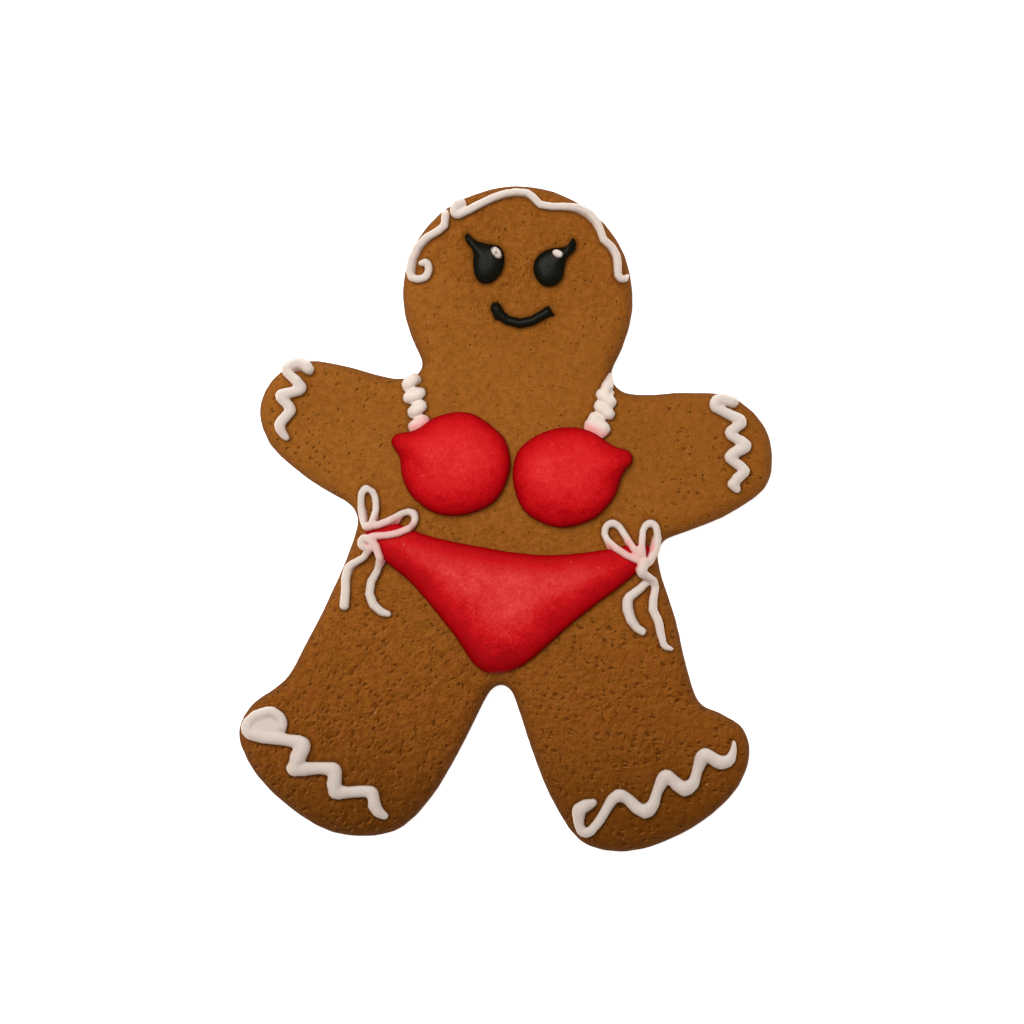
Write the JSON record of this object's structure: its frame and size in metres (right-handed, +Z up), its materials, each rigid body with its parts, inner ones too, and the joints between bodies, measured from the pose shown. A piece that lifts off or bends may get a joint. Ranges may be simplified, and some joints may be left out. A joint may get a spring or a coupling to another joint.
{
  "type": "gingerbread man cookie",
  "caption": "Flat baked gingerbread figure with rounded edges, lying face up, with raised icing: piped hairline, face, zigzag cuffs, rope straps and bows, and a flooded two-piece swimsuit.",
  "frame": {"origin": "centre of the bounding box on the plane of the flat underside", "axes": "+Z up out of the decorated side, +Y towards the head, +X to the right as seen from above"},
  "size_m": [0.1042, 0.13, 0.0124],
  "materials": {
    "gingerbread": "matte",
    "red_icing": "satin",
    "white_icing": "satin",
    "black_icing": "satin"
  },
  "bodies": {
    "root": {"cookie": "gingerbread", "briefs": "red_icing", "cup_left": "red_icing", "cup_right": "red_icing", "eye_left": "black_icing", "eye_right": "black_icing", "mouth": "black_icing", "glint_left": "white_icing", "glint_right": "white_icing", "hair_line": "white_icing", "hair_curl": "white_icing", "cuff_left_hand": "white_icing", "cuff_right_hand": "white_icing", "cuff_left_foot": "white_icing", "cuff_right_foot": "white_icing", "strap_left": "white_icing", "strap_right": "white_icing", "bow_left": "white_icing", "bow_right": "white_icing"}
  },
  "joints": []
}
